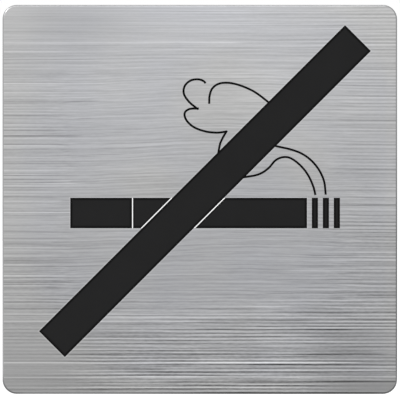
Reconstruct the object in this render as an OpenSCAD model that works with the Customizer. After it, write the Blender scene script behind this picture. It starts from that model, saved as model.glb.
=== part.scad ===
// No smoking sign for a door or a wall. A brushed steel plate has shallow etched recesses that are
// filled with black enamel, and three strips of foam tape on its back hold it to the wall.
// Each piece is drawn lying on its back, with X to the right, Y up and Z out of the wall, and is
// then stood upright. The finished sign faces -Y, and its origin lies on the wall, behind the
// middle of the plate.

/* [Plate] */
// Width of the steel plate
plate_width = 100; // [92:0.2:160]
// Height of the steel plate
plate_height = 98.6; // [92:0.2:160]
// Thickness of the steel
plate_thickness = 1.5; // [1:0.1:4]
// Radius of the plate's four corners
corner_radius = 3.6; // [1:0.1:12]
// Radius that softens the front edge all round
edge_radius = 0.5; // [0.1:0.05:0.8]

/* [Etching] */
// Depth of the etched recesses
etch_depth = 0.3; // [0.1:0.05:0.8]
// How far the enamel's face lies below the steel
enamel_drop = 0.05; // [0:0.01:0.08]
// Width of the bare steel land between two neighbouring black fields
land_width = 0.24; // [0.16:0.02:1]

/* [Bar] */
// Length of the diagonal bar
bar_length = 109.6; // [80:0.2:114]
// Width of the diagonal bar
bar_width = 9.25; // [4:0.05:14]
// Slope of the bar, rising to the right
bar_angle = 45; // [40:1:50]
// Distance of the bar's middle to the right of the plate's middle
bar_right = 1.3; // [-3:0.1:3]
// Distance of the bar's middle above the plate's middle
bar_up = 2.1; // [-3:0.1:3]

/* [Cigarette] */
// Height of the cigarette
cigarette_height = 7.7; // [4:0.1:12]
// Distance of the cigarette's axis below the plate's middle
cigarette_drop = 3.45; // [-4:0.05:12]
// Distance of the filter's free end to the left of the plate's middle
cigarette_left = 32.8; // [28:0.1:40]
// Length of the filter tip
filter_length = 15.65; // [8:0.05:20]
// Length of the paper, measured across the bar
paper_length = 44.05; // [36:0.05:50]
// Width of one upright ash band
ash_band_width = 1.56; // [0.8:0.02:2.2]
// Bare steel in front of each ash band
ash_gap = 1.22; // [0.6:0.02:2]

/* [Smoke] */
// Width of the drawn smoke line
smoke_line_width = 0.55; // [0.3:0.05:1]

/* [Tape] */
// Width of each strip of foam tape
tape_width = 15; // [8:1:20]
// Thickness of the foam tape
tape_thickness = 1; // [0.5:0.1:2]
// Distance of the tape from the plate's edges
tape_inset = 9; // [4:0.5:12]

/* [Hidden] */
$fn = 96;

STEEL = [0.70, 0.71, 0.72];
ENAMEL = [0.15, 0.15, 0.15];
FOAM = [0.86, 0.86, 0.84];

// Number of upright bands at the burning end
ASH_BANDS = 3;
// Pieces that each stretch of a smoke line is divided into
CURVE_STEPS = 5;
// A length that reaches past every side of the plate
BEYOND = plate_width + plate_height;
// The two sides of the bar's centre line
UPPER_LEFT = 1;
LOWER_RIGHT = -1;

face_level = tape_thickness + plate_thickness;
recess_floor = face_level - etch_depth;
bar_middle = [bar_right, bar_up];
bar_normal = [-sin(bar_angle), cos(bar_angle)];
cigarette_floor = -cigarette_drop - cigarette_height / 2;
paper_start = -cigarette_left + filter_length + land_width;
ash_pitch = ash_gap + ash_band_width;
ash_start = paper_start + paper_length + ash_gap;
burning_end = ash_start + (ASH_BANDS - 1) * ash_pitch + ash_band_width;

// The smoke's lines run through these points, counted from the upper corner of the burning end.
// The upper puff curls over and comes down to a point.
PUFF_TOP = [[-34.0, 29.0], [-34.6, 29.6], [-35.9, 30.0], [-37.8, 29.7], [-39.3, 28.3],
    [-39.5, 26.3], [-38.1, 24.2], [-35.9, 22.4]];
// The lower puff starts at that point, crosses the upper line and swings round to a second point.
PUFF_LEFT = [[-35.7, 22.6], [-38.0, 22.5], [-39.3, 21.5], [-38.9, 19.7], [-37.0, 17.9],
    [-34.0, 16.8], [-31.0, 16.5], [-28.7, 16.8]];
// From the second point the outline drops behind the bar.
PUFF_TAIL = [[-28.6, 17.0], [-29.5, 15.5], [-30.3, 13.8], [-30.7, 11.9]];
// The crest rises between the puffs and falls behind the bar on the right.
CREST = [[-33.1, 23.8], [-33.0, 25.8], [-32.3, 27.7], [-30.6, 28.9], [-28.0, 29.1],
    [-25.1, 28.4], [-22.3, 27.2], [-20.4, 26.0], [-18.6, 24.6]];
// The plume's two sides climb from the ash bands to the bar.
PLUME_OUTER = [[-3.6, 0.8], [-4.0, 4.1], [-5.2, 6.9], [-7.1, 9.3], [-9.5, 11.1],
    [-12.3, 12.2], [-15.3, 12.9]];
PLUME_INNER = [[-6.2, 0.7], [-6.8, 3.0], [-8.1, 5.8], [-10.0, 8.2], [-12.4, 10.0],
    [-14.4, 10.3], [-16.3, 9.5], [-17.9, 7.7], [-19.6, 6.4], [-21.4, 5.7], [-23.8, 5.3]];

// A point between p1 and p2 on the smooth curve through p0, p1, p2 and p3, with t from 0 to 1
function between(p0, p1, p2, p3, t) =
    p1
    + t * (p2 - p0) / 2
    + t * t * (p0 - 2.5 * p1 + 2 * p2 - p3 / 2)
    + t * t * t * (1.5 * (p1 - p2) + (p3 - p0) / 2);

// The smooth curve through a list of points, as a fine chain of points
function smooth(points) =
    let (
        last = len(points) - 1,
        before = 2 * points[0] - points[1],
        after = 2 * points[last] - points[last - 1],
        p = concat([before], points, [after])
    )
    concat(
        [for (i = [0 : last - 1], s = [0 : CURVE_STEPS - 1])
            between(p[i], p[i + 1], p[i + 2], p[i + 3], s / CURVE_STEPS)],
        [points[last]]);

// Unit vector square to a chain of points at its point i
function across(chain, i) =
    let (ahead = chain[min(i + 1, len(chain) - 1)] - chain[max(i - 1, 0)])
    [-ahead[1], ahead[0]] / norm(ahead);

// Outline of a line of even width drawn along a chain of points, with square ends
function ribbon(chain, width) = concat(
    [for (i = [0 : len(chain) - 1]) chain[i] - across(chain, i) * width / 2],
    [for (i = [len(chain) - 1 : -1 : 0]) chain[i] + across(chain, i) * width / 2]);

// The chain with a straight run added at its end, as far as the bar's centre line
function run_to_bar(chain) =
    let (
        tip = chain[len(chain) - 1],
        ahead = tip - chain[len(chain) - 2],
        steps = ((bar_middle - tip) * bar_normal) / (ahead * bar_normal)
    )
    steps > 0 ? concat(chain, [tip + steps * ahead]) : chain;

// Points counted from the burning end, moved to where the cigarette is
function from_burning_end(points) =
    [for (p = points) p + [burning_end, cigarette_floor + cigarette_height]];

// Stands a lying piece upright, with its face towards -Y
module upright() {
    rotate([90, 0, 0])
        children();
}

// Everything on one side of the bar's centre line
module side_of_bar(side) {
    translate(bar_middle)
        rotate(bar_angle)
            translate([0, side * BEYOND / 2])
                square([2 * BEYOND, BEYOND], center = true);
}

module bar_field(margin = 0) {
    translate(bar_middle)
        rotate(bar_angle)
            square([bar_length + 2 * margin, bar_width + 2 * margin], center = true);
}

// One drawn line of smoke that stays on its own side of the bar's centre line
module smoke_line(points, side, reaches_bar = true) {
    chain = smooth(from_burning_end(points));
    intersection() {
        polygon(ribbon(reaches_bar ? run_to_bar(chain) : chain, smoke_line_width));
        side_of_bar(side);
    }
}

module bar_and_smoke_field() {
    bar_field();
    smoke_line(PUFF_TOP, UPPER_LEFT, reaches_bar = false);
    smoke_line(PUFF_LEFT, UPPER_LEFT, reaches_bar = false);
    smoke_line(PUFF_TAIL, UPPER_LEFT);
    smoke_line(CREST, UPPER_LEFT);
    smoke_line(PLUME_OUTER, LOWER_RIGHT);
    smoke_line(PLUME_INNER, LOWER_RIGHT);
}

// An upright rectangle of the cigarette, cut back from the bar by one land
module cigarette_field(start, length) {
    difference() {
        translate([start, cigarette_floor])
            square([length, cigarette_height]);
        bar_field(land_width);
    }
}

module filter_field() {
    cigarette_field(-cigarette_left, filter_length);
}

// The paper on one side of the bar
module paper_field(side) {
    intersection() {
        cigarette_field(paper_start, paper_length);
        side_of_bar(side);
    }
}

module ash_band_field(number) {
    cigarette_field(ash_start + (number - 1) * ash_pitch, ash_band_width);
}

module black_fields() {
    bar_and_smoke_field();
    filter_field();
    paper_field(UPPER_LEFT);
    paper_field(LOWER_RIGHT);
    for (number = [1 : ASH_BANDS])
        ash_band_field(number);
}

// Enamel that fills a recess of the given outline
module enamel() {
    color(ENAMEL)
        upright()
            translate([0, 0, recess_floor])
                linear_extrude(height = etch_depth - enamel_drop)
                    children();
}

// Section through the plate: flat back, and front corners rounded by edge_radius
module plate_section(half_width) {
    translate([-half_width, 0])
        square([2 * half_width, plate_thickness - edge_radius]);
    translate([edge_radius - half_width, 0])
        square([2 * (half_width - edge_radius), plate_thickness]);
    for (side = [-1, 1])
        translate([side * (half_width - edge_radius), plate_thickness - edge_radius])
            circle(r = edge_radius);
}

// The section drawn along Y, between two corners
module plate_slab(half_width, run) {
    rotate([90, 0, 0])
        linear_extrude(height = run, center = true)
            plate_section(half_width);
}

// The section turned about a corner's centre
module plate_corner() {
    rotate_extrude()
        intersection() {
            plate_section(corner_radius);
            square([corner_radius, plate_thickness]);
        }
}

module plate_blank() {
    corner_x = plate_width / 2 - corner_radius;
    corner_y = plate_height / 2 - corner_radius;
    plate_slab(plate_width / 2, 2 * corner_y);
    rotate(90)
        plate_slab(plate_height / 2, 2 * corner_x);
    for (x = [-corner_x, corner_x], y = [-corner_y, corner_y])
        translate([x, y])
            plate_corner();
}

module sign_plate() {
    color(STEEL)
        upright()
            difference() {
                translate([0, 0, tape_thickness])
                    plate_blank();
                translate([0, 0, recess_floor])
                    linear_extrude(height = plate_thickness)
                        black_fields();
            }
}

module bar_and_smoke() {
    enamel()
        bar_and_smoke_field();
}

module filter_tip() {
    enamel()
        filter_field();
}

module paper_left() {
    enamel()
        paper_field(UPPER_LEFT);
}

module paper_right() {
    enamel()
        paper_field(LOWER_RIGHT);
}

module ash_band(number) {
    enamel()
        ash_band_field(number);
}

// A strip of tape from top to bottom: place is -1 for the left, 0 for the middle, 1 for the right
module tape_strip(place) {
    tape_length = plate_height - 2 * tape_inset;
    spacing = plate_width / 2 - tape_inset - tape_width / 2;
    color(FOAM)
        upright()
            translate([place * spacing - tape_width / 2, -tape_length / 2, 0])
                cube([tape_width, tape_length, tape_thickness]);
}

sign_plate();
bar_and_smoke();
filter_tip();
paper_left();
paper_right();
ash_band(1);  // ash_band_1
ash_band(2);  // ash_band_2
ash_band(3);  // ash_band_3
tape_strip(-1);  // tape_left
tape_strip(0);  // tape_middle
tape_strip(1);  // tape_right
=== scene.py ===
"""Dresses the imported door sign: brushed steel, black enamel, foam tape and a plain studio."""

import math

import bmesh
import bpy
from bpy.props import FloatProperty, FloatVectorProperty, PointerProperty
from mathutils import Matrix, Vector


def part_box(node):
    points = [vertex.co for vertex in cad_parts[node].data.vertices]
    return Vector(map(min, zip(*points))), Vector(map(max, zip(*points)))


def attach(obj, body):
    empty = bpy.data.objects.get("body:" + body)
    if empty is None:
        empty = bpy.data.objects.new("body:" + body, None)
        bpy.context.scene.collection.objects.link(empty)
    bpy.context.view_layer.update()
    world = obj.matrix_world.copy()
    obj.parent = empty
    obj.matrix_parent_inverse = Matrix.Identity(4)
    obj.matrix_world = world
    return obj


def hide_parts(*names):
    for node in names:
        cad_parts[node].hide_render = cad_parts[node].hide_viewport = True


bl_info = {
    "name": "Brushed steel door sign",
    "version": (1, 0, 0),
    "blender": (4, 5, 0),
    "location": "3D View > Sidebar > Door Sign",
    "description": "Brushed steel, enamel and foam tape for a pictogram door sign",
    "category": "Object",
}

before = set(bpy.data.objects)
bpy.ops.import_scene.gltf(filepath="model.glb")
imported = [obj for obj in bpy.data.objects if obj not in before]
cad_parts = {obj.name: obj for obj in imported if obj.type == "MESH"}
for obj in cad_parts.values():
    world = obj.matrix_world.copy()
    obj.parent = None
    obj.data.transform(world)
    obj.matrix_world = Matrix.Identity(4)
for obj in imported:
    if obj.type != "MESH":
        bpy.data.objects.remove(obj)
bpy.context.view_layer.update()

MM = 0.001

PLATE = "sign_plate"
BAR = "bar_and_smoke"
FILTER = "filter_tip"
CIGARETTE = [FILTER, "paper_left", "paper_right"]
ASH_BANDS = ["ash_band_1", "ash_band_2", "ash_band_3"]
TAPES = ["tape_left", "tape_middle", "tape_right"]
BAR_TURN = math.radians(45)
BAR_WIDTH = 9.25 * MM

# Strokes of the belt that went deeper or left a bright line, in mm across the plate's face:
# height, left end, right end, half width, how much lighter or darker than the steel round it
BELT_STROKES = [
    (39.7, -50.0, 6.0, 0.28, 0.27),
    (37.4, -50.0, -38.0, 0.24, 0.16),
    (29.3, -50.0, -26.0, 0.24, 0.25),
    (24.8, -50.0, -30.0, 0.28, -0.32),
    (20.7, -50.0, -38.0, 0.22, -0.12),
    (16.1, -50.0, -34.0, 0.26, -0.30),
    (9.1, -50.0, -36.0, 0.22, -0.14),
    (4.0, -50.0, -34.0, 0.22, 0.36),
    (-0.5, -50.0, -38.0, 0.22, 0.18),
    (-3.3, -50.0, -33.0, 0.22, 0.30),
    (-12.2, -50.0, -36.0, 0.22, 0.13),
    (-21.0, -50.0, -36.0, 0.22, -0.26),
    (-23.3, -50.0, -32.0, 0.22, 0.18),
    (-24.3, -50.0, -34.0, 0.22, -0.16),
    (33.2, 30.0, 50.0, 0.24, -0.15),
    (19.7, 26.0, 50.0, 0.24, -0.24),
    (18.2, 34.0, 50.0, 0.24, -0.20),
    (-1.8, 34.0, 50.0, 0.22, -0.20),
    (-14.5, 30.0, 50.0, 0.22, -0.28),
    (-18.1, 26.0, 50.0, 0.26, 0.38),
    (-20.9, 24.0, 50.0, 0.24, -0.26),
    (-23.7, 20.0, 50.0, 0.24, -0.26),
    (-27.1, 26.0, 50.0, 0.24, -0.48),
    (-28.4, 22.0, 50.0, 0.22, -0.34),
    (-29.8, -22.0, 50.0, 0.28, 0.30),
    (-30.8, 6.0, 26.0, 0.28, -0.40),
    (-32.9, 4.0, 34.0, 0.26, -0.34),
    (-39.2, 29.0, 43.0, 0.28, -0.34),
    (-41.3, -50.0, 36.0, 0.28, 0.50),
    (-43.1, -6.0, 44.0, 0.26, 0.46),
    (-45.1, -50.0, -4.0, 0.26, 0.22),
    (-46.1, -4.0, 49.0, 0.26, -0.46),
]

# Soft patches that mirror lighter or darker parts of the room, in mm across the plate's face:
# right, up, half width, half height, how much lighter or darker
SOFT_PATCHES = [
    (36, -39, 19, 13, -0.19),
    (6, 48, 38, 11, 0.09),
    (16, -27, 28, 8, 0.05),
    (6, -39, 22, 6, -0.10),
    (-32, -14, 18, 8, -0.03),
    (-4, 2, 38, 6, -0.06),
    (4, 17, 13, 12, -0.05),
    (16, -8, 30, 6, 0.02),
    (19, 32, 13, 11, 0.06),
    (-48, 48, 11, 9, 0.08),
    (-26, 42, 22, 8, -0.05),
    (22, -26, 12, 5, 0.04),
    (-32, -47, 16, 5, -0.06),
    (-6, -31, 24, 8, 0.06),
    (49, 4, 7, 16, 0.07),
    (-49, -24, 9, 18, 0.04),
]

# Patches where the belt bit deeper, or less deep where the last number is below zero,
# given the same way
DEEPER_PATCHES = [
    (-42, -21.5, 30, 7, 0.15),
    (-48, -9, 24, 6, -0.07),
    (42, -25, 26, 9, 0.06),
    (24, -27.5, 26, 6, 0.12),
    (47, -34, 14, 5, -0.16),
]

# Patches that mirror a bluer part of the room, or a warmer one where the last number is below zero,
# given the same way
BLUE_PATCHES = [
    (-2, 51, 25, 13, 0.55),
    (24, -19, 32, 12, 0.42),
    (-32, 20, 9, 18, 0.25),
    (7, 26, 18, 19, -0.95),
    (27, 8, 10, 14, -0.85),
    (-13, 3, 11, 9, -0.85),
]


# Properties


class PlateSettings(bpy.types.PropertyGroup):
    # Upper Tone and Lower Tone are painted light and shade: the face is painted lighter along the
    # top and darker along the bottom, as the lamp above lights it.
    upper_lit_tone: FloatVectorProperty(
        name="Upper Tone",
        description="Colour of the brushed steel along the top of the sign",
        default=(0.503, 0.503, 0.503),
        min=0.0,
        max=1.0,
        subtype="COLOR",
    )
    lower_shaded_tone: FloatVectorProperty(
        name="Lower Tone",
        description="Colour of the brushed steel along the bottom of the sign",
        default=(0.308, 0.308, 0.308),
        min=0.0,
        max=1.0,
        subtype="COLOR",
    )
    cool_cast: FloatVectorProperty(
        name="Cool Cast",
        description="Colour that bluish patches of the face take from the room",
        default=(0.938, 0.951, 1.0),
        min=0.0,
        max=1.0,
        subtype="COLOR",
    )
    # Land Tone is a painted highlight: the narrow steel between two enamel fields is painted white,
    # as it catches the light.
    land_highlight_tone: FloatVectorProperty(
        name="Land Tone",
        description="Colour of the bright narrow lands left between two enamel fields",
        default=(1.0, 1.0, 1.0),
        min=0.0,
        max=1.0,
        subtype="COLOR",
    )
    # Edge Tone is partly the unbrushed edge's own colour and partly painted shade: it is kept dark
    # for the dark outline that the rounded edge shows where it mirrors darker surroundings.
    edge_tone: FloatVectorProperty(
        name="Edge Tone",
        description="Colour of the plate's unbrushed, rounded edge",
        default=(0.342, 0.342, 0.348),
        min=0.0,
        max=1.0,
        subtype="COLOR",
    )
    back_tone: FloatVectorProperty(
        name="Back Tone",
        description="Colour of the rolled steel on the sign's back",
        default=(0.46, 0.46, 0.465),
        min=0.0,
        max=1.0,
        subtype="COLOR",
    )
    pitch: FloatProperty(
        name="Grain Pitch",
        description="Height of one line of the brushed grain",
        default=0.886 * MM,
        min=0.2 * MM,
        unit="LENGTH",
    )
    run: FloatProperty(
        name="Grain Run",
        description="Length over which one line of the grain fades",
        default=14 * MM,
        min=1 * MM,
        unit="LENGTH",
    )
    waver: FloatProperty(
        name="Grain Waver",
        description="How far a line of the grain wanders up and down",
        default=0.26 * MM,
        min=0.0,
        unit="LENGTH",
    )
    roughness: FloatProperty(
        name="Roughness",
        description="Gloss of the brushed face, from 0, a mirror, to 1, matt",
        default=0.36,
        min=0.0,
        max=1.0,
        subtype="FACTOR",
    )
    corner_radius: FloatProperty(
        name="Corner Radius",
        description="Radius of the plate's four corners",
        default=3.6 * MM,
        min=0.5 * MM,
        unit="LENGTH",
    )


class EnamelSettings(bpy.types.PropertyGroup):
    colour: FloatVectorProperty(
        name="Colour",
        description="Colour of the enamel in the etched fields",
        default=(0.0117, 0.0117, 0.0120),
        min=0.0,
        max=1.0,
        subtype="COLOR",
    )
    line_tone: FloatProperty(
        name="Line Tone",
        description="How light the deep enamel of the fine smoke lines is beside the wide fields",
        default=0.0,
        min=0.0,
        max=1.0,
        subtype="FACTOR",
    )
    # Rim Tone is painted shade: the enamel is darkened along its fields' edges, beside the recess
    # wall.
    rim_shade_tone: FloatProperty(
        name="Rim Tone",
        description="How light the enamel is along its fields' edges, beside the middle of a field",
        default=0.0,
        min=0.0,
        max=1.0,
        subtype="FACTOR",
    )
    roughness: FloatProperty(
        name="Roughness",
        description="Gloss of the enamel, from 0, a mirror, to 1, matt",
        default=0.42,
        min=0.0,
        max=1.0,
        subtype="FACTOR",
    )


class TapeSettings(bpy.types.PropertyGroup):
    colour: FloatVectorProperty(
        name="Colour",
        description="Colour of the foam",
        default=(0.70, 0.70, 0.67),
        min=0.0,
        max=1.0,
        subtype="COLOR",
    )
    skin: FloatProperty(
        name="Skin",
        description="Thickness of the adhesive on each side of the foam",
        default=0.08 * MM,
        min=0.01 * MM,
        unit="LENGTH",
    )
    bulge: FloatProperty(
        name="Bulge",
        description="How far the foam's cut sides stand out between the two skins",
        default=0.09 * MM,
        min=0.0,
        unit="LENGTH",
    )


class StudioSettings(bpy.types.PropertyGroup):
    focal_length: FloatProperty(
        name="Focal Length",
        description="The camera's focal length",
        default=150.0,
        min=10.0,
        unit="CAMERA",
    )
    field_width: FloatProperty(
        name="Field Width",
        description="Width of what the camera sees at the sign's face",
        default=101.266 * MM,
        min=10 * MM,
        unit="LENGTH",
    )
    floor_gap: FloatProperty(
        name="Floor Gap",
        description="Height of the sign's lower edge above the floor",
        default=35 * MM,
        min=0.0,
        unit="LENGTH",
    )
    floor_tone: FloatVectorProperty(
        name="Floor Tone",
        description="Colour of the floor",
        default=(0.86, 0.86, 0.86),
        min=0.0,
        max=1.0,
        subtype="COLOR",
    )
    overhead_power: FloatProperty(
        name="Overhead Power",
        description="Power of the wide lamp above the camera",
        default=0.3,
        min=0.0,
        unit="POWER",
    )
    corner_power: FloatProperty(
        name="Corner Power",
        description="Power of the small lamp at the upper left, which puts a glint on the corner",
        default=0.6,
        min=0.0,
        unit="POWER",
    )


# Nodes

# Blender's noise lies mostly between these two values
NOISE_LOW, NOISE_HIGH = 0.2, 0.8

# Length past its two ends over which a stroke of the belt fades in and out
STROKE_TAPER = 7 * MM

# Share of its half width, from the rim inwards, over which a stroke gains its strength
STROKE_RISE = 0.8


class Wiring:
    """Adds nodes to one node tree and joins them up. A value is a number, a tuple or a socket."""

    def __init__(self, tree):
        self.tree = tree

    def feed(self, socket, value):
        """Links a socket to the input, or sets the input's own value."""
        if isinstance(value, bpy.types.NodeSocket):
            self.tree.links.new(value, socket)
        elif value is not None:
            socket.default_value = value

    def node(self, kind, settings=None, **values):
        """Adds a node. A value's name is its socket's, with _ for a space."""
        made = self.tree.nodes.new(kind)
        for name, setting in (settings or {}).items():
            setattr(made, name, setting)
        for name, value in values.items():
            self.feed(made.inputs[name.replace("_", " ")], value)
        return made

    def math(self, operation, *values):
        made = self.tree.nodes.new("ShaderNodeMath")
        made.operation = operation
        for socket, value in zip(made.inputs, values):
            self.feed(socket, value)
        return made.outputs[0]

    def add(self, a, b):
        return self.math("ADD", a, b)

    def subtract(self, a, b):
        return self.math("SUBTRACT", a, b)

    def times(self, a, b):
        return self.math("MULTIPLY", a, b)

    def divide(self, a, b):
        return self.math("DIVIDE", a, b)

    def least(self, a, b):
        return self.math("MINIMUM", a, b)

    def most(self, a, b):
        return self.math("MAXIMUM", a, b)

    def unsigned(self, a):
        return self.math("ABSOLUTE", a)

    def root(self, a):
        return self.math("SQRT", a)

    def sum_of(self, values):
        total = values[0]
        for value in values[1:]:
            total = self.add(total, value)
        return total

    def ramp(self, value, start, end, low=0.0, high=1.0):
        """Goes smoothly from low to high as the value goes from start to end."""
        if start > end:
            start, end, low, high = end, start, high, low
        made = self.node(
            "ShaderNodeMapRange",
            {"interpolation_type": "SMOOTHSTEP"},
            Value=value,
            From_Min=start,
            From_Max=end,
            To_Min=low,
            To_Max=high,
        )
        return made.outputs["Result"]

    def fade(self, value, start, end, low=0.0, high=1.0):
        """A ramp that starts and ends at places in millimetres."""
        return self.ramp(value, start * MM, end * MM, low, high)

    def split(self, vector):
        return self.node("ShaderNodeSeparateXYZ", Vector=vector).outputs

    def join(self, x, y, z):
        return self.node("ShaderNodeCombineXYZ", X=x, Y=y, Z=z).outputs[0]

    def noise(self, vector, detail=0.0):
        """Noise from about -1 to 1 with cells of about one unit."""
        made = self.node(
            "ShaderNodeTexNoise", Vector=vector, Scale=1.0, Detail=detail, Roughness=0.5
        )
        return self.node(
            "ShaderNodeMapRange",
            Value=made.outputs[0],
            From_Min=NOISE_LOW,
            From_Max=NOISE_HIGH,
            To_Min=-1.0,
        ).outputs["Result"]

    def streaks(self, x, z, along, up, layer, detail=0.0):
        """Noise with so many cells to a unit along the grain and up it. Layers differ."""
        return self.noise(self.join(self.times(x, along), layer, self.times(z, up)), detail)

    def blend(self, share, a, b):
        """A colour that goes from a to b with the share."""
        made = self.tree.nodes.new("ShaderNodeMix")
        made.data_type = "RGBA"
        self.feed(made.inputs[0], share)
        self.feed(made.inputs[6], colour(a))
        self.feed(made.inputs[7], colour(b))
        return made.outputs[2]

    def blend_number(self, share, a, b):
        """A number that goes from a to b with the share."""
        made = self.tree.nodes.new("ShaderNodeMix")
        self.feed(made.inputs[0], share)
        self.feed(made.inputs[2], a)
        self.feed(made.inputs[3], b)
        return made.outputs[0]

    def tinted(self, tone, factor):
        """A colour made lighter or darker by a factor."""
        made = self.node("ShaderNodeVectorMath", {"operation": "SCALE"}, Scale=factor)
        self.feed(made.inputs[0], tone)
        return made.outputs[0]

    def cast(self, tone, cast):
        """A colour with a colour cast over it."""
        made = self.node("ShaderNodeVectorMath", {"operation": "MULTIPLY"})
        self.feed(made.inputs[0], tone)
        self.feed(made.inputs[1], cast)
        return made.outputs[0]

    def place(self):
        """Where a point lies on the object."""
        return self.node("ShaderNodeTexCoord").outputs["Object"]


def colour(value):
    """A colour property's three numbers as the four that a socket takes."""
    return value if isinstance(value, bpy.types.NodeSocket) else (*value, 1.0)


def node_group(name, inputs, outputs):
    """An empty node group with named number inputs, a place to start from and named outputs."""
    tree = bpy.data.node_groups.new(name, "ShaderNodeTree")
    tree.interface.new_socket(name="Place", in_out="INPUT", socket_type="NodeSocketVector")
    for socket in inputs:
        tree.interface.new_socket(name=socket, in_out="INPUT", socket_type="NodeSocketFloat")
    for socket in outputs:
        tree.interface.new_socket(name=socket, in_out="OUTPUT", socket_type="NodeSocketFloat")
    w = Wiring(tree)
    return w, w.node("NodeGroupInput").outputs, w.node("NodeGroupOutput").inputs


def use_group(w, name, place, **values):
    """Puts a node group into a tree and returns its outputs."""
    made = w.tree.nodes.new("ShaderNodeGroup")
    made.node_tree = bpy.data.node_groups[name]
    w.feed(made.inputs["Place"], place)
    for socket, value in values.items():
        w.feed(made.inputs[socket.replace("_", " ")], value)
    return made.outputs


def make_belt_grain():
    """Lines left by a belt that ran from side to side: they wander, fade and come back."""
    w, given, out = node_group(
        "Belt Grain",
        ["Pitch", "Run", "Waver", "Evenness", "Shine"],
        ["Height", "Lines", "Hair", "Bands"],
    )
    even = given["Evenness"]
    x, _, z = w.split(given["Place"])
    runs = w.divide(x, given["Run"])
    drift = w.streaks(x, z, along=50.0, up=120.0, layer=0.0, detail=2.0)
    height = w.add(z, w.times(drift, given["Waver"]))
    rows = w.divide(height, given["Pitch"])

    # Regular lines, one to a row. The root makes them narrow and dark, or narrow and bright where
    # the grain shines, and taking its mean away keeps the steel's tone.
    unrest = w.streaks(x, rows, along=18.0, up=0.4, layer=3.7, detail=1.0)
    turn = w.add(rows, w.times(unrest, w.blend_number(even, 0.6, 0.2)))
    wave = w.times(w.math("SINE", w.times(turn, 2 * math.pi)), 0.5)
    lift, mean = 0.52, 0.66
    dark_lines = w.subtract(w.root(w.add(lift, wave)), mean)
    bright_lines = w.subtract(mean, w.root(w.subtract(lift, wave)))
    groove = w.blend_number(given["Shine"], dark_lines, bright_lines)
    depth = w.streaks(runs, rows, along=0.5, up=1.1, layer=8.1, detail=1.5)
    regular = w.times(groove, w.ramp(depth, -0.7, 0.8, 0.1, 2.0))

    # Each kind of line, with its strength where the grain is uneven and where it is even
    uneven = w.streaks(runs, rows, along=0.4, up=2.6, layer=12.9)
    dashes = w.streaks(runs, rows, along=2.6, up=2.2, layer=15.2, detail=2.0)
    kinds = [(regular, 0.75, 1.1), (uneven, 0.75, 0.4), (dashes, 0.6, 0.4)]
    lines = w.sum_of(
        [w.times(kind, w.blend_number(even, loose, tight)) for kind, loose, tight in kinds]
    )

    short_hair = w.streaks(x, rows, along=700.0, up=3.0, layer=5.2, detail=1.0)
    fine_hair = w.streaks(x, rows, along=60.0, up=11.0, layer=9.4, detail=2.0)
    hair = w.add(w.times(short_hair, 0.2), w.times(fine_hair, 0.35))
    bands = w.streaks(runs, rows, along=0.4, up=0.25, layer=17.3, detail=1.0)
    for name, value in {"Height": height, "Lines": lines, "Hair": hair, "Bands": bands}.items():
        w.feed(out[name], value)


def make_belt_stroke():
    """One long stroke of the belt, from its left end to its right end at one height."""
    w, given, out = node_group("Belt Stroke", ["Height", "Left", "Right", "Half Width"], ["Mask"])
    x, _, z = w.split(given["Place"])
    off = w.unsigned(w.subtract(z, given["Height"]))
    line = w.subtract(1.0, w.divide(off, given["Half Width"]))
    start = w.divide(w.subtract(x, w.subtract(given["Left"], STROKE_TAPER)), STROKE_TAPER)
    end = w.divide(w.subtract(w.add(given["Right"], STROKE_TAPER), x), STROKE_TAPER)
    across = w.ramp(line, 0.0, STROKE_RISE)
    along = w.ramp(w.least(start, end), 0.0, 1.0)
    w.feed(out["Mask"], w.times(across, along))


def make_field_distance():
    """How far a point lies outside a turned, rounded rectangle. Inside it, it is below zero."""
    w, given, out = node_group(
        "Field Distance",
        ["Right", "Up", "Half Length", "Half Width", "Turn", "Corner"],
        ["Distance"],
    )
    x, _, z = w.split(given["Place"])
    dx = w.subtract(x, given["Right"])
    dz = w.subtract(z, given["Up"])
    cosine = w.math("COSINE", given["Turn"])
    sine = w.math("SINE", given["Turn"])
    along = w.unsigned(w.add(w.times(dx, cosine), w.times(dz, sine)))
    across = w.unsigned(w.subtract(w.times(dz, cosine), w.times(dx, sine)))
    past_end = w.add(w.subtract(along, given["Half Length"]), given["Corner"])
    past_side = w.add(w.subtract(across, given["Half Width"]), given["Corner"])
    deep = w.least(w.most(past_end, past_side), 0.0)
    end_out = w.most(past_end, 0.0)
    side_out = w.most(past_side, 0.0)
    reach = w.root(w.add(w.times(end_out, end_out), w.times(side_out, side_out)))
    w.feed(out["Distance"], w.subtract(w.add(deep, reach), given["Corner"]))


def make_mottle():
    """Soft uneven patches and fine specks, from -1 to 1."""
    w, given, out = node_group("Mottle", ["Patch", "Speck"], ["Patches", "Specks"])
    for name, size in {"Patches": given["Patch"], "Specks": given["Speck"]}.items():
        scaled = w.node("ShaderNodeVectorMath", {"operation": "DIVIDE"})
        w.feed(scaled.inputs[0], given["Place"])
        w.feed(scaled.inputs[1], size)
        w.feed(out[name], w.noise(scaled.outputs[0], detail=1.0))


def make_groups():
    """Makes the node groups that aren't there yet."""
    for name, maker in {
        "Belt Grain": make_belt_grain,
        "Belt Stroke": make_belt_stroke,
        "Field Distance": make_field_distance,
        "Mottle": make_mottle,
    }.items():
        if name not in bpy.data.node_groups:
            maker()


def new_material(name):
    """A new material's wiring and its shader."""
    material = bpy.data.materials.new(name)
    material.use_nodes = True
    w = Wiring(material.node_tree)
    shader = material.node_tree.nodes["Principled BSDF"]
    return material, w, shader


def bump(w, shader, height, strength, depth):
    """Feeds a bump to the shader."""
    made = w.node("ShaderNodeBump", Height=height, Strength=strength, Distance=depth)
    w.feed(shader.inputs["Normal"], made.outputs[0])


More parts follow.
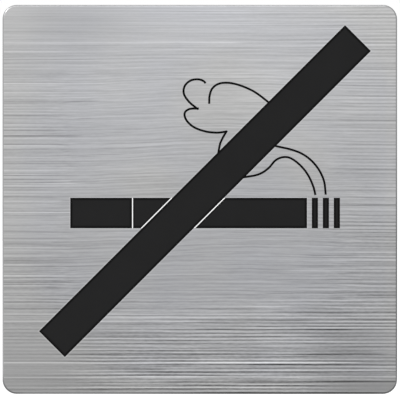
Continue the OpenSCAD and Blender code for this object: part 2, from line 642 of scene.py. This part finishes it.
def dress(node, material):
    """Gives a solid of the sign its material."""
    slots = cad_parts[node].material_slots
    if not slots:
        raise RuntimeError(f"{node} has no material slot")
    for slot in slots:
        slot.material = material


# Places on the face


def middle_and_half(nodes):
    """The middle and half size, across the face, of some solids taken together."""
    boxes = [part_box(n) for n in nodes]
    low = Vector((min(b[0].x for b in boxes), 0, min(b[0].z for b in boxes)))
    high = Vector((max(b[1].x for b in boxes), 0, max(b[1].z for b in boxes)))
    return (low + high) / 2, (high - low) / 2


def field_distance(w, place, middle, half, turn=0.0, corner=0.0):
    """How far a point lies outside one field. Inside the field it is below zero."""
    return use_group(
        w,
        "Field Distance",
        place,
        Right=middle.x,
        Up=middle.z,
        Half_Length=half.x,
        Half_Width=half.z,
        Turn=turn,
        Corner=corner,
    )["Distance"]


def bar_place():
    """Middle and half size of the bar, whose four corners touch the sides of its node's box."""
    low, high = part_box(BAR)
    bar_length = (high.x - low.x) / math.cos(BAR_TURN) - BAR_WIDTH
    return (low + high) / 2, Vector((bar_length / 2, 0, BAR_WIDTH / 2))


def pictogram_distances(w, place):
    """How far a point lies outside the bar, and outside the cigarette up to its ash bands."""
    return (
        field_distance(w, place, *bar_place(), turn=BAR_TURN),
        field_distance(w, place, *middle_and_half(CIGARETTE)),
    )


def spot(w, x, z, right, up, half_width, half_height):
    """1 at a soft spot's middle and 0 outside it. Sizes are in millimetres."""
    dx = w.divide(w.subtract(x, right * MM), half_width * MM)
    dz = w.divide(w.subtract(z, up * MM), half_height * MM)
    return w.ramp(w.root(w.add(w.times(dx, dx), w.times(dz, dz))), 1.0, 0.0)


def spots(w, x, z, patches):
    """Soft spots of given strengths, as a list."""
    return [w.times(spot(w, x, z, *patch), strength) for *patch, strength in patches]


# Steel

# How deep the belt bit all over the face, as a share of the steel's tone
PLAIN_BITE = 0.15

# How far the lines of the grain climb in the upper middle of the face
GRAIN_CLIMB = 1.1 * MM

# How many times longer the lines are near the face's sides than in its middle
EDGE_RUNS = 3

# Tone of the painted highlight laid on the steel round the fields, how far it reaches
# from a field, and its share beside the field
HALO_HIGHLIGHT = (0.9, 0.9, 0.9)
HALO_REACH = 0.45 * MM
HALO_SHARE = 0.15

# How far inside the plate's outline its plain edge starts and is full
EDGE_START, EDGE_FULL = 0.42 * MM, 0.28 * MM

# How far behind the front the ground wall starts and is full
WALL_START, WALL_FULL = 0.30 * MM, 0.55 * MM

# How far in front of the plate's back its rolled steel starts and is full
BACK_START, BACK_FULL = 0.06 * MM, 0.01 * MM

# The wall's roughness is added to the edge's
EDGE_ROUGHNESS = 0.28
WALL_ROUGHNESS = 0.36
BACK_ROUGHNESS = 0.5

# Painted shade and painted light on the edge: a darker spot at the plate's lower left corner and a
# lighter one at its lower right, given as the patches are
CORNER_LIGHT_AND_SHADE = [
    (-47, -46.5, 4, 4, -0.5),
    (48.5, -47.5, 6, 6, 0.25),
]


def grain_contrast(w, x, z):
    """The belt bit deepest along the bottom, more at the two sides than in the middle, and
    less in three of the corners and in a strip at the lower right."""
    bottom = w.times(w.fade(z, -20, -42, 0.0, 0.66), w.fade(x, -50, -8, 0.15, 1.0))
    right = w.times(w.fade(x, 24, 44, 0.0, 0.24), w.fade(z, 20, -12, 0.35, 1.0))
    left = w.times(w.fade(x, -20, -49, 0.0, 0.11), w.fade(z, 34, 22))
    top = w.fade(z, 26, 42, 0.0, 0.05)
    deeper = [bottom, right, left, top, *spots(w, x, z, DEEPER_PATCHES), PLAIN_BITE]

    right_corner = w.times(w.fade(x, 18, 46, 0.0, 0.6), w.fade(z, -26, -38))
    left_corner = w.times(w.fade(x, -24, -40, 0.0, 0.6), w.fade(z, -30, -40))
    upper_left = w.times(w.fade(x, 16, -34, 0.0, 0.5), w.fade(z, 37, 44))
    lower_strip = w.times(w.fade(x, 26, 38, 0.0, 0.3), w.fade(z, -45.4, -46.6))
    fainter = w.sum_of([right_corner, left_corner, upper_left, lower_strip])
    return w.times(w.sum_of(deeper), w.subtract(1.0, fainter))


def stroke_marks(w, x, height):
    """The lighter and darker strokes, added up."""
    place = w.join(x, 0.0, height)
    marks = []
    for up, left, right, half_width, strength in BELT_STROKES:
        mask = use_group(
            w,
            "Belt Stroke",
            place,
            Height=up * MM,
            Left=left * MM,
            Right=right * MM,
            Half_Width=half_width * MM,
        )["Mask"]
        marks.append(w.times(mask, strength))
    return w.sum_of(marks)


def face_grain(w, settings, x, z):
    """The face's grain as a relief, and how much lighter or darker it makes the steel."""
    middle = w.least(w.fade(x, -48, -28), w.fade(x, 48, 28))
    level = w.least(w.fade(z, -40, -24), w.fade(z, 42, 30))
    upper = w.least(w.fade(z, -22, -12), w.fade(z, 42, 26))
    hump = w.least(w.fade(x, -34, 6), w.fade(x, 52, 6, 0.55, 1.0))
    climb = w.times(w.times(hump, upper), GRAIN_CLIMB)
    grain = use_group(
        w,
        "Belt Grain",
        w.join(x, 0.0, w.subtract(z, climb)),
        Pitch=settings.pitch,
        Run=w.blend_number(w.times(middle, level), EDGE_RUNS * settings.run, settings.run),
        Waver=w.times(w.times(middle, level), settings.waver),
        Evenness=w.most(w.fade(z, -10, -30), w.fade(x, 20, 44)),
        Shine=w.fade(z, -24, -40),
    )
    relief = w.add(grain["Lines"], grain["Hair"])
    half_way = w.blend_number(0.5, z, grain["Height"])
    factor = w.sum_of(
        [
            w.times(relief, grain_contrast(w, x, z)),
            stroke_marks(w, x, half_way),
            w.times(grain["Bands"], 0.02),
            1.0,
        ]
    )
    return relief, factor


def mirrored_tone(w, settings, place, x, z):
    """The steel's tone with painted light and shade, lighter along the top and darker towards the
    bottom, and bluish where it mirrors cool light.
    """
    # Painted light and shade: lighter along the top, darker along the bottom
    tone = w.blend(w.fade(z, -60, 60), settings.lower_shaded_tone, settings.upper_lit_tone)
    upper_corner = w.fade(w.add(x, z), 74, 90)
    lower_corner = w.fade(w.add(x, z), -56, -78)
    # Painted reflection: soft bluish patches mirrored from the room
    reflection_mottle = use_group(w, "Mottle", place, Patch=16 * MM, Speck=5 * MM)
    cool = w.sum_of(
        [
            w.fade(x, -50, -38, 0.0, 0.66),
            w.times(w.add(upper_corner, lower_corner), -0.9),
            w.times(reflection_mottle["Patches"], 0.3),
            w.times(reflection_mottle["Specks"], 0.1),
            w.fade(z, -44, -46.5, 0.0, -0.45),
            w.fade(x, 46, 48, 0.0, -0.4),
            *spots(w, x, z, BLUE_PATCHES),
        ]
    )
    return w.blend(w.ramp(cool, -0.2, 1.3), tone, w.cast(tone, settings.cool_cast))


def mirrored_shades(w, x, z):
    """The lighter and darker parts of the room that the face mirrors, as a list."""
    below = w.fade(z, -36, -50)
    upper_left = w.times(w.fade(x, -6, -46), w.fade(z, 10, 46))
    left_side = w.fade(x, -16, -46)
    right_side = w.fade(x, 24, 50)
    lower_right = w.times(w.fade(z, -45, -46.5), w.fade(x, 24, 36))
    return [
        w.times(below, -0.08),
        *spots(w, x, z, SOFT_PATCHES),
        w.times(upper_left, -0.10),
        w.times(left_side, -0.035),
        w.times(right_side, -0.04),
        w.times(lower_right, -0.06),
    ]


def face_steel(w, settings, place):
    """Colour and relief of the brushed face, with painted highlights round its fields and on its
    bright lands.
    """
    x, _, z = w.split(place)
    relief, factor = face_grain(w, settings, x, z)
    shading = w.sum_of([*mirrored_shades(w, x, z), factor])
    face = w.tinted(mirrored_tone(w, settings, place, x, z), shading)

    to_bar, to_cigarette = pictogram_distances(w, place)
    # Painted highlight: the steel beside the fields is lightened towards the halo tone
    halo = w.ramp(w.least(to_bar, to_cigarette), HALO_REACH, 0.0)
    land = w.fade(to_cigarette, 0.0, -0.03)
    face = w.blend(w.times(halo, HALO_SHARE), face, HALO_HIGHLIGHT)
    # Painted highlight on the lands between two fields
    return w.blend(land, face, settings.land_highlight_tone), relief


def edge_steel(w, settings, place):
    """Colour and roughness of the plain rounded edge and of the ground wall behind it. The edge
    carries painted shade along its right side and bottom, painted light along its top, and painted
    shade and light at its two lower corners.
    """
    x, y, z = w.split(place)
    # Painted shade along the right side and the bottom of the edge, painted light along its top and
    # at the lower right corner, painted shade at the lower left corner
    right_shade = w.times(w.fade(x, 44, 49), w.fade(z, 30, -20, 0.32, 0.74))
    lower_shade = w.times(w.fade(z, -43, -48), w.fade(x, -34, 20, 0.45, 0.91))
    upper_light = w.fade(z, 46, 48.6, 0.0, 0.14)
    corner_light_and_shade = w.sum_of(spots(w, x, z, CORNER_LIGHT_AND_SHADE))
    shade = w.subtract(w.add(upper_light, corner_light_and_shade), w.most(right_shade, lower_shade))

    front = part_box(PLATE)[0].y
    wall = w.ramp(y, front + WALL_START, front + WALL_FULL)
    # The painted light and shade are kept to the rounding, off the ground wall
    shade = w.times(shade, w.subtract(1.0, wall))
    cut_place = w.join(w.times(x, 1400.0), w.times(y, 90.0), w.times(z, 1400.0))
    cut = w.times(w.noise(cut_place, detail=1.0), wall)
    tone = w.tinted(settings.edge_tone, w.sum_of([1.0, shade, w.times(cut, 0.07)]))
    rough = w.sum_of([EDGE_ROUGHNESS, w.times(wall, WALL_ROUGHNESS), w.times(cut, 0.06)])
    return tone, rough


def back_steel(w, settings, place):
    """Colour of the rolled back."""
    mill = use_group(w, "Mottle", place, Patch=9 * MM, Speck=0.5 * MM)
    rolled = use_group(
        w, "Belt Grain", place, Pitch=0.4 * MM, Run=40 * MM, Waver=0.0, Evenness=0.0, Shine=0.5
    )["Lines"]
    factor = w.sum_of(
        [w.times(mill["Patches"], 0.05), w.times(mill["Specks"], 0.03), w.times(rolled, 0.07), 1.0]
    )
    return w.tinted(settings.back_tone, factor)


def steel_material(settings):
    """Brushed in front, plain round the edge, rolled behind."""
    material, w, shader = new_material("Brushed steel")
    place = w.place()
    _, y, z = w.split(place)
    face, relief = face_steel(w, settings, place)
    edge_tone, edge_rough = edge_steel(w, settings, place)

    middle, half = middle_and_half([PLATE])
    outside = field_distance(w, place, middle, half, corner=settings.corner_radius)
    # The edge band is wider along the bottom, which widens the painted shade line there
    wider_below = w.fade(z, -44, -48, 0.0, 0.12 * MM)
    edge = w.ramp(w.add(outside, wider_below), -EDGE_START, -EDGE_FULL)
    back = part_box(PLATE)[1].y
    rear = w.ramp(y, back - BACK_START, back - BACK_FULL)
    w.feed(
        shader.inputs["Base Color"],
        w.blend(rear, w.blend(edge, face, edge_tone), back_steel(w, settings, place)),
    )
    face_rough = w.add(settings.roughness, w.times(relief, -0.05))
    w.feed(
        shader.inputs["Roughness"],
        w.blend_number(rear, w.blend_number(edge, face_rough, edge_rough), BACK_ROUGHNESS),
    )
    shader.inputs["Metallic"].default_value = 1.0
    bump(w, shader, relief, strength=0.35, depth=0.006 * MM)
    return material


class SIGN_OT_brush_plate(bpy.types.Operator):
    """Gives the plate its brushed face, bright lands, plain edge and rolled back"""

    bl_idname = "sign.brush_plate"
    bl_label = "Brush Steel Plate"

    def execute(self, context):
        make_groups()
        dress(PLATE, steel_material(context.scene.sign_plate))
        return {"FINISHED"}


# Enamel

# How far inside a field's edge the enamel's painted shade along its rim ends and its full tone
# starts
RIM_END, TONE_START = 0.2 * MM, 0.85 * MM

# Kept low, so that the white surroundings don't grey the black
ENAMEL_SHINE = 0.08


def enamel_material(settings):
    """Satin black, darkest along the rims of the fields, where shade is painted, and in the smoke
    lines.
    """
    material, w, shader = new_material("Black enamel")
    place = w.place()
    pool = use_group(w, "Mottle", place, Patch=6 * MM, Speck=0.6 * MM)
    mottled = w.sum_of([w.times(pool["Patches"], 0.06), w.times(pool["Specks"], 0.03), 1.0])

    to_bar, to_cigarette = pictogram_distances(w, place)
    from_edge = w.least(to_bar, w.unsigned(to_cigarette))
    for field in [FILTER, *ASH_BANDS]:
        to_field = field_distance(w, place, *middle_and_half([field]))
        from_edge = w.least(from_edge, w.unsigned(to_field))
    inset = w.most(w.times(to_bar, -1.0), from_edge)
    # Painted shade along the fields' rims
    rim = w.ramp(inset, RIM_END, TONE_START, settings.rim_shade_tone, 1.0)

    _, _, z = w.split(place)
    bands_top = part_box(ASH_BANDS[0])[1].z
    off_bar = w.fade(to_bar, 0.0, 0.1)
    above_bands = w.ramp(z, bands_top, bands_top + 0.1 * MM)
    fine = w.blend_number(w.times(off_bar, above_bands), 1.0, settings.line_tone)
    tone = w.times(w.times(mottled, rim), fine)
    w.feed(shader.inputs["Base Color"], w.tinted(settings.colour, tone))
    w.feed(
        shader.inputs["Roughness"],
        w.add(settings.roughness, w.times(pool["Patches"], 0.03)),
    )
    shader.inputs["Specular IOR Level"].default_value = ENAMEL_SHINE
    bump(w, shader, pool["Specks"], strength=0.15, depth=0.004 * MM)
    return material


class SIGN_OT_fill_enamel(bpy.types.Operator):
    """Gives the etched fields their black enamel"""

    bl_idname = "sign.fill_enamel"
    bl_label = "Fill Enamel Fields"

    def execute(self, context):
        make_groups()
        material = enamel_material(context.scene.sign_enamel)
        for node in [BAR, *CIGARETTE, *ASH_BANDS]:
            dress(node, material)
        return {"FINISHED"}


# Tape

# Cuts through a strip's thickness, as shares of it. The foam lies between the first and the last.
FOAM_CUTS = (0.09, 0.3, 0.5, 0.7, 0.91)

# Parts that the other cuts make of a strip's height and of its width
PARTS_UP = 24
PARTS_ACROSS = 5

FOAM_CELLS_PER_METRE = 4500.0

# A point nearer to a strip's side than this, in metres, lies on it
ON_SIDE = 1e-7


def tape_material(settings):
    """Matt foam with fine cells between two glossier skins."""
    material, w, shader = new_material("Foam tape")
    place = w.place()
    _, y, _ = w.split(place)
    low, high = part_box(TAPES[0])
    cells = w.node(
        "ShaderNodeTexVoronoi",
        {"feature": "SMOOTH_F1"},
        Vector=place,
        Scale=FOAM_CELLS_PER_METRE,
        Smoothness=0.4,
    ).outputs["Distance"]
    mottle = use_group(w, "Mottle", place, Patch=5 * MM, Speck=0.4 * MM)
    skin = w.most(
        w.ramp(y, high.y - settings.skin * 1.2, high.y - settings.skin * 0.6),
        w.ramp(y, low.y + settings.skin * 1.2, low.y + settings.skin * 0.6),
    )
    foam_tone = w.sum_of([0.82, w.times(cells, 0.3), w.times(mottle["Patches"], 0.04)])
    skin_tone = w.sum_of([1.0, w.times(mottle["Patches"], 0.04), w.times(mottle["Specks"], 0.03)])
    w.feed(
        shader.inputs["Base Color"],
        w.tinted(settings.colour, w.blend_number(skin, foam_tone, skin_tone)),
    )
    w.feed(shader.inputs["Roughness"], w.blend_number(skin, 0.9, 0.45))
    height = w.blend_number(skin, cells, w.times(mottle["Specks"], 0.3))
    bump(w, shader, height, strength=0.5, depth=0.03 * MM)
    return material


def cut_strip(bm, low, size):
    """Cuts a strip through its thickness, its height and its width, so that its sides can bulge."""
    cuts = [(0, 1, 0, low.y + size.y * share) for share in FOAM_CUTS]
    cuts += [(0, 0, 1, low.z + size.z * k / PARTS_UP) for k in range(1, PARTS_UP)]
    cuts += [(1, 0, 0, low.x + size.x * k / PARTS_ACROSS) for k in range(1, PARTS_ACROSS)]
    for nx, ny, nz, at in cuts:
        bmesh.ops.bisect_plane(
            bm,
            geom=bm.verts[:] + bm.edges[:] + bm.faces[:],
            plane_co=(nx * at, ny * at, nz * at),
            plane_no=(nx, ny, nz),
        )


def bulge_sides(bm, low, size, bulge):
    """Moves the foam's cut sides out, most at half thickness and a little unevenly along them."""
    middle = low + size / 2
    foam_low, foam_high = FOAM_CUTS[0], FOAM_CUTS[-1]
    for v in bm.verts:
        rise = (v.co.y - low.y) / size.y
        out = bulge * max(0.0, math.sin(math.pi * (rise - foam_low) / (foam_high - foam_low)))
        out *= 0.8 + 0.2 * math.sin(v.co.z / (3.1 * MM) + v.co.x / (1.7 * MM))
        for axis in ("x", "z"):
            off = getattr(v.co, axis) - getattr(middle, axis)
            if abs(abs(off) - getattr(size, axis) / 2) < ON_SIDE:
                setattr(v.co, axis, getattr(v.co, axis) + math.copysign(out, off))


def foam_strip(node, settings):
    """A strip of foam between two skins of adhesive, in the place of a plain one."""
    low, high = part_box(node)
    size = high - low
    bm = bmesh.new()
    bmesh.ops.create_cube(bm, size=1.0)
    bmesh.ops.scale(bm, vec=size, verts=bm.verts)
    bmesh.ops.translate(bm, vec=(low + high) / 2, verts=bm.verts)
    bmesh.ops.bevel(
        bm,
        geom=bm.edges[:],
        offset=settings.skin * 0.5,
        offset_type="OFFSET",
        affect="EDGES",
        segments=2,
        profile=0.5,
        material=-1,
    )
    cut_strip(bm, low, size)
    bulge_sides(bm, low, size, settings.bulge)
    bmesh.ops.recalc_face_normals(bm, faces=bm.faces)
    mesh = bpy.data.meshes.new("foam_" + node)
    bm.to_mesh(mesh)
    bm.free()
    mesh.shade_smooth()
    mesh.set_sharp_from_angle(angle=math.radians(50))
    piece = bpy.data.objects.new("foam_" + node, mesh)
    bpy.context.scene.collection.objects.link(piece)
    return piece


class SIGN_OT_lay_tape(bpy.types.Operator):
    """Lays the three strips of foam tape on the sign's back"""

    bl_idname = "sign.lay_tape"
    bl_label = "Lay Foam Tape"

    def execute(self, context):
        make_groups()
        settings = context.scene.sign_tape
        material = tape_material(settings)
        for node in TAPES:
            piece = foam_strip(node, settings)
            piece.data.materials.append(material)
            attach(piece, "root")
            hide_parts(node)
        return {"FINISHED"}


# Studio

# Places and sizes in metres
OVERHEAD_LAMP = {"place": (0.03, -0.30, 0.42), "target": (0, 0, 0.02), "size": (0.30, 0.12)}
CORNER_LAMP = {"place": (-0.31, -0.30, 0.29), "target": (0, 0, 0), "size": (0.04, 0.04)}
FLOOR_HALF_WIDTH = 3.0

# The camera stands this far to the right of the plate's middle and this far below it
CAMERA_RIGHT = 0.05 * MM
CAMERA_DOWN = 0.15 * MM

# Strength of the white surroundings as plain light, and where they are seen or mirrored
PLAIN_LIGHT, SEEN_WHITE = 0.9, 1.0

# How much the floor glows where it is seen or mirrored, so that it is nearly white there
FLOOR_GLOW = 0.3


def area_lamp(name, place, target, size, power):
    """A soft rectangular lamp that points at a target."""
    lamp = bpy.data.lights.new(name, "AREA")
    lamp.shape = "RECTANGLE"
    lamp.size, lamp.size_y = size
    lamp.energy = power
    made = bpy.data.objects.new(name, lamp)
    made.location = place
    made.rotation_euler = (Vector(target) - Vector(place)).to_track_quat("-Z", "Y").to_euler()
    bpy.context.scene.collection.objects.link(made)


def seen_directly(w):
    """1 where the camera sees a point itself, in metal or through glass, and 0 for plain light."""
    path = w.node("ShaderNodeLightPath").outputs
    return w.most(
        path["Is Camera Ray"], w.most(path["Is Glossy Ray"], path["Is Transmission Ray"])
    )


def white_world():
    """White surroundings that light the sign softly from all sides."""
    world = bpy.data.worlds.new("White studio")
    world.use_nodes = True
    w = Wiring(world.node_tree)
    background = world.node_tree.nodes["Background"]
    background.inputs["Color"].default_value = (1, 1, 1, 1)
    w.feed(
        background.inputs["Strength"], w.blend_number(seen_directly(w), PLAIN_LIGHT, SEEN_WHITE)
    )
    bpy.context.scene.world = world


def pale_floor(settings, height):
    """A wide pale floor that keeps the sign's shadow."""
    bm = bmesh.new()
    bmesh.ops.create_grid(bm, x_segments=1, y_segments=1, size=FLOOR_HALF_WIDTH)
    bmesh.ops.translate(bm, vec=(0, 0, height), verts=bm.verts)
    mesh = bpy.data.meshes.new("floor")
    bm.to_mesh(mesh)
    bm.free()
    floor = bpy.data.objects.new("floor", mesh)
    bpy.context.scene.collection.objects.link(floor)
    material, w, shader = new_material("Pale floor")
    paint = use_group(w, "Mottle", w.place(), Patch=200 * MM, Speck=4 * MM)
    w.feed(
        shader.inputs["Base Color"],
        w.tinted(settings.floor_tone, w.add(1.0, w.times(paint["Patches"], 0.005))),
    )
    shader.inputs["Roughness"].default_value = 0.9
    shader.inputs["Specular IOR Level"].default_value = 0.0
    shader.inputs["Emission Color"].default_value = (1, 1, 1, 1)
    w.feed(shader.inputs["Emission Strength"], w.times(seen_directly(w), FLOOR_GLOW))
    mesh.materials.append(material)


def straight_camera(settings):
    """A long lens square to the sign's face, a hair to the right of its middle and below it."""
    lens = bpy.data.cameras.new("camera")
    lens.lens = settings.focal_length
    distance = settings.field_width * settings.focal_length / lens.sensor_width
    camera = bpy.data.objects.new("camera", lens)
    camera.location = (CAMERA_RIGHT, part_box(PLATE)[0].y - distance, -CAMERA_DOWN)
    camera.rotation_euler = (math.radians(90), 0, 0)
    bpy.context.scene.collection.objects.link(camera)
    bpy.context.scene.camera = camera


class SIGN_OT_set_studio(bpy.types.Operator):
    """Sets the floor, the soft lamps, the white surroundings and the camera"""

    bl_idname = "sign.set_studio"
    bl_label = "Set Up Studio"

    def execute(self, context):
        make_groups()
        settings = context.scene.sign_studio
        white_world()
        pale_floor(settings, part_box(PLATE)[0].z - settings.floor_gap)
        area_lamp("overhead lamp", power=settings.overhead_power, **OVERHEAD_LAMP)
        area_lamp("corner lamp", power=settings.corner_power, **CORNER_LAMP)
        straight_camera(settings)
        context.scene.view_settings.view_transform = "Standard"
        return {"FINISHED"}


# Panel and registration


class SIGN_PT_door_sign(bpy.types.Panel):
    """Lists the steps that dress the sign"""

    bl_label = "Door Sign"
    bl_idname = "SIGN_PT_door_sign"
    bl_space_type = "VIEW_3D"
    bl_region_type = "UI"
    bl_category = "Door Sign"

    def draw(self, context):
        scene = context.scene
        for operator, settings in STEPS:
            box = self.layout.box()
            for name in getattr(scene, settings).bl_rna.properties.keys():
                if name not in ("rna_type", "name"):
                    box.prop(getattr(scene, settings), name)
            box.operator(operator)


STEPS = [
    ("sign.brush_plate", "sign_plate"),
    ("sign.fill_enamel", "sign_enamel"),
    ("sign.lay_tape", "sign_tape"),
    ("sign.set_studio", "sign_studio"),
]
SETTINGS = {
    "sign_plate": PlateSettings,
    "sign_enamel": EnamelSettings,
    "sign_tape": TapeSettings,
    "sign_studio": StudioSettings,
}
CLASSES = [
    *SETTINGS.values(),
    SIGN_OT_brush_plate,
    SIGN_OT_fill_enamel,
    SIGN_OT_lay_tape,
    SIGN_OT_set_studio,
    SIGN_PT_door_sign,
]


def register():
    for cls in CLASSES:
        bpy.utils.register_class(cls)
    for name, cls in SETTINGS.items():
        setattr(bpy.types.Scene, name, PointerProperty(type=cls))


def unregister():
    for name in SETTINGS:
        delattr(bpy.types.Scene, name)
    for cls in reversed(CLASSES):
        bpy.utils.unregister_class(cls)


def main():
    register()
    bpy.ops.sign.brush_plate()
    bpy.ops.sign.fill_enamel()
    bpy.ops.sign.lay_tape()
    bpy.ops.sign.set_studio()


if __name__ == "__main__":
    main()
